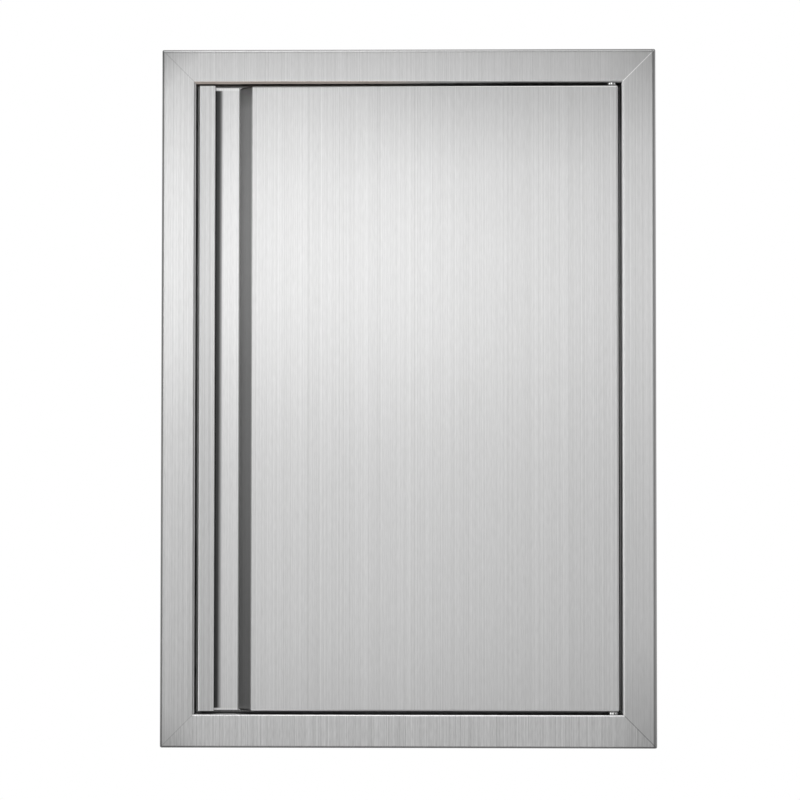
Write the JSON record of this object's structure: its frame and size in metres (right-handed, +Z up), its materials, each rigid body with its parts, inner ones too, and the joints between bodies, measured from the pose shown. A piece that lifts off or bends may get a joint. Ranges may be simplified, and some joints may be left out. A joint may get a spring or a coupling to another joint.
{
  "type": "outdoor kitchen access door",
  "caption": "Flush stainless-steel access door in a mitred frame, with a full-height finger pull, pivot pins and magnetic catches.",
  "frame": {"origin": "centre of the door opening, on the plane of the island's face that the frame's flanges lie against", "axes": "+X to the right seen from the front, +Y into the island, +Z up"},
  "size_m": [0.4318, 0.051, 0.6096],
  "materials": {
    "brushed_sheet": "fine vertical brushed grain",
    "plain_sheet": "plain mill finish",
    "zinc_plated_steel": "satin zinc plate",
    "bright_steel": "polished",
    "block_aluminium": "machined",
    "catch_plastic": "moulded, finely textured",
    "dark_ferrite": "ground",
    "bushing_plastic": "moulded",
    "bumper_rubber": "matt"
  },
  "bodies": {
    "frame": {"frame_stile_left": "brushed_sheet", "frame_stile_right": "brushed_sheet", "frame_rail_top": "brushed_sheet", "frame_rail_bottom": "brushed_sheet", "pivot_plate_top": "zinc_plated_steel", "pivot_plate_bottom": "zinc_plated_steel", "hinge_pin_top": "bright_steel", "hinge_pin_bottom": "bright_steel", "pin_lock_nuts": "zinc_plated_steel", "hinge_washer_top": "bright_steel", "hinge_washer_bottom": "bright_steel", "catch_housing_upper": "catch_plastic", "catch_housing_lower": "catch_plastic", "catch_magnets": "dark_ferrite", "catch_pole_plates": "zinc_plated_steel", "catch_rivets": "zinc_plated_steel", "ledge_bumpers": "bumper_rubber"},
    "door": {"door_skin": "brushed_sheet", "door_liner": "plain_sheet", "door_stiffener": "plain_sheet", "hinge_block_top": "block_aluminium", "hinge_block_bottom": "block_aluminium", "hinge_bushing_top": "bushing_plastic", "hinge_bushing_bottom": "bushing_plastic", "strike_plate_upper": "zinc_plated_steel", "strike_plate_lower": "zinc_plated_steel"}
  },
  "joints": [
    {"name": "door_hinge", "type": "hinge", "parent": "frame", "child": "door", "pos_m": [0.178, -0.0125, 0], "axis": [0, 0, 1], "range_deg": [0, 105]}
  ]
}
